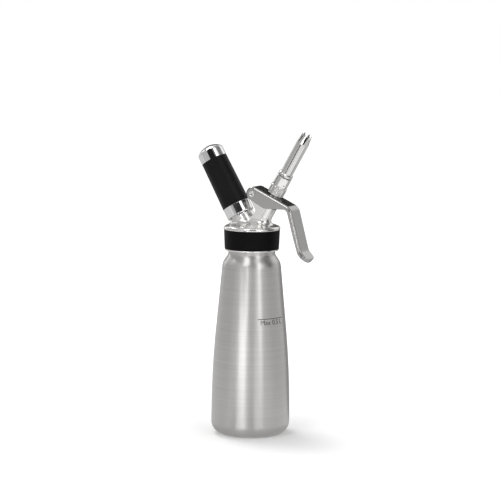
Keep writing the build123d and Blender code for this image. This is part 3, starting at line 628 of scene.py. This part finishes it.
# ---------------------------------------------------------------- port's thread
# Four turns of a finer thread, cut on the plated nipple.  The charger holder screws down on them and
# drives the charger on to its pin.
port_root = 10.5
port_crest = 11.18
port_lead = 2.0
port_low = 26.6
port_turns = 4
port_thread = thread("port_thread", port_root, port_crest, port_lead, port_low, port_turns)
port_thread.data.transform(holder_place)
port_thread.data.materials.append(plated)
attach(port_thread, "head")


# ---------------------------------------------------------------- gas charger and its pin
# The charger is a small drawn steel cylinder of gas, zinc plated, that stands loose in the holder with
# its neck in the port.  The hollow pin that pierces it is turned, plated alike and pressed into the port.
zinc_pale = (0.7, 0.7, 0.71)
zinc_dull = (0.55, 0.55, 0.56)
zinc = metal("zinc_charger", zinc_pale, zinc_dull, rough=0.25, spread=0.05, turn=holder_turn)
dress("gas_charger", zinc)
dress("piercing_pin", zinc)


# ---------------------------------------------------------------- charger holder
# A drawn steel tube with a thick collar, and a domed cap that closes its outer end.  Both have the
# port's bright nickel chrome plate.
dress("holder_tube", plated)
dress("holder_cap", plated)


# ---------------------------------------------------------------- holder's grip
# A sleeve of black silicone rubber, pulled over the holder's tube for a grip.  Its tabs reach up over
# the cap.
grip_black = (0.006, 0.006, 0.006)
dress("holder_grip", rubber("black_grip_rubber", grip_black, rough=0.42, gloss=0.14))


# ---------------------------------------------------------------- valve stem and collar
# The hollow stem slides in the head's right boss, and the domed collar on it takes the lever's push.
# Both are turned steel, plated a little duller than the holder.
nozzle_bright = (0.8, 0.795, 0.785)
nozzle_dull = (0.68, 0.675, 0.665)
nozzle_turn = (0, radians(-axis_lean), 0)
nozzle_place = Matrix.Translation((0, 0, axes_cross)) @ Matrix.Rotation(radians(axis_lean), 4, "Y")
nozzle_plate = metal("turned_nozzle", nozzle_bright, nozzle_dull, rough=0.16, spread=0.04, lines=4, run=0.1,
                     depth=0.2, turn=nozzle_turn)
dress("valve_stem", nozzle_plate)
dress("thrust_collar", nozzle_plate)


# ---------------------------------------------------------------- return spring
# A coil of hard drawn wire, zinc plated as the charger is.  It sits in the boss round the stem and
# lifts the collar and the lever again.
dress("return_spring", zinc)


# ---------------------------------------------------------------- nozzle adapter
# A turned adapter of the same plated steel, screwed on the stem's end, with two flats for a spanner
# and a pin hole in one of them.
dress("nozzle_adapter", nozzle_plate)


# ---------------------------------------------------------------- adapter's knurl
# A diamond knurl that is rolled round the adapter's foot, so that wet fingers can turn it.  Every
# second point of a fine grid stands up as a diamond's tip.
knurl_low = 53.6
knurl_high = 61.9
knurl_root = 8.35
knurl_crest = 8.62
knurl_wall = 0.6
knurl_teeth = 44
knurl_rows = 14
knurl_step = (knurl_high - knurl_low) / knurl_rows
knurl_sharp = 10

knurl_shape = bmesh.new()
levels = [knurl_low + row * knurl_step for row in range(knurl_rows + 1)]
rail = outline(knurl_shape, [(knurl_root * MM, level * MM) for level in levels])
bmesh.ops.spin(knurl_shape, geom=rail, axis=(0, 0, 1), angle=2 * pi, steps=2 * knurl_teeth, use_merge=True)
for vert in knurl_shape.verts:
    column = round(atan2(vert.co.y, vert.co.x) / pi * knurl_teeth)
    row = round((vert.co.z / MM - knurl_low) / knurl_step)
    if (column + row) % 2 == 0 and 0 < row < knurl_rows:
        vert.co.xy *= knurl_crest / knurl_root
rims = [edge for edge in knurl_shape.edges if edge.is_boundary]
for part in bmesh.ops.extrude_edge_only(knurl_shape, edges=rims)["geom"]:
    if isinstance(part, bmesh.types.BMVert):
        part.co.xy *= (knurl_root - knurl_wall) / knurl_root
bmesh.ops.triangulate(knurl_shape, faces=knurl_shape.faces, quad_method="SHORT_EDGE")
bmesh.ops.recalc_face_normals(knurl_shape, faces=knurl_shape.faces)
knurl = finished("knurled_grip", knurl_shape, knurl_sharp)
knurl.data.transform(nozzle_place)
knurl.data.materials.append(nozzle_plate)
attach(knurl, "stem")


# ---------------------------------------------------------------- roll pin
# A slotted pin of spring steel with a black oxide finish, rolled from sheet and driven into the hole
# in the adapter's flat, where it locks the adapter to the stem.
pin_bore = 0.3
pin_radius = 0.58
pin_sunk = 0.3
pin_deep = 1.9
pin_wrap = 310
pin_steps = 30
flat_azimuth = 35
flat_out = 6.7
pin_aside = 2.4
pin_level = 66.2
oxide_black = (0.03, 0.03, 0.032)
oxide_deep = (0.015, 0.015, 0.016)
oxide = metal("black_oxide_pin", oxide_black, oxide_deep, rough=0.4, spread=0.1, lines=2, run=2)

pin_shape = bmesh.new()
pin_corners = ((pin_bore, pin_sunk), (pin_bore, pin_deep), (pin_radius, pin_deep), (pin_radius, pin_sunk))
pin_section = outline(pin_shape, [(out * MM, -deep * MM) for out, deep in pin_corners], closed=True)
bmesh.ops.spin(pin_shape, geom=pin_section, axis=(0, 0, 1), angle=radians(pin_wrap), steps=pin_steps)
bmesh.ops.holes_fill(pin_shape, edges=[edge for edge in pin_shape.edges if edge.is_boundary])
bmesh.ops.recalc_face_normals(pin_shape, faces=pin_shape.faces)
roll_pin = finished("roll_pin", pin_shape, ridge_sharp)
flat_place = nozzle_place @ Matrix.Rotation(from_x(flat_azimuth), 4, "Z")
pin_spot = Matrix.Translation((flat_out * MM, pin_aside * MM, pin_level * MM))
roll_pin.data.transform(flat_place @ pin_spot @ Matrix.Rotation(radians(90), 4, "Y"))
roll_pin.data.materials.append(oxide)
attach(roll_pin, "stem")


# ---------------------------------------------------------------- adapter's thread
# A fine thread on the spigot at the adapter's outer end, cut in the same plated steel.  The decorator
# tip screws on it.
spigot_root = 4.2
spigot_crest = 4.88
spigot_lead = 1.5
spigot_low = 75.5
spigot_turns = 6.5
spigot_thread = thread("spigot_thread", spigot_root, spigot_crest, spigot_lead, spigot_low, spigot_turns)
spigot_thread.data.transform(nozzle_place)
spigot_thread.data.materials.append(nozzle_plate)
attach(spigot_thread, "stem")


# ---------------------------------------------------------------- decorator tip
# A long tube of the same plated steel, drawn narrower to its end and sawn into six teeth there to
# shape the cream.  It screws on the adapter's thread.
dress("decorator_tip", nozzle_plate)


# ---------------------------------------------------------------- lever
# One stainless sheet, pressed to a channel with two cheeks and a bent finger part, and belt polished
# to a satin.  Its top plate has a hole that the stem goes through.
lever_satin = (0.46, 0.456, 0.448)
lever_streak = (0.435, 0.431, 0.424)
satin = metal("satin_lever", lever_satin, lever_streak, rough=0.17, spread=0.02, lines=3, run=0.4, depth=0.02)
dress("lever", satin)


# ---------------------------------------------------------------- lever's pin
# A steel rivet with the bright plate, through the lever's two cheeks and the lug of the head, that
# the lever swings on.
dress("pivot_pin", plated)
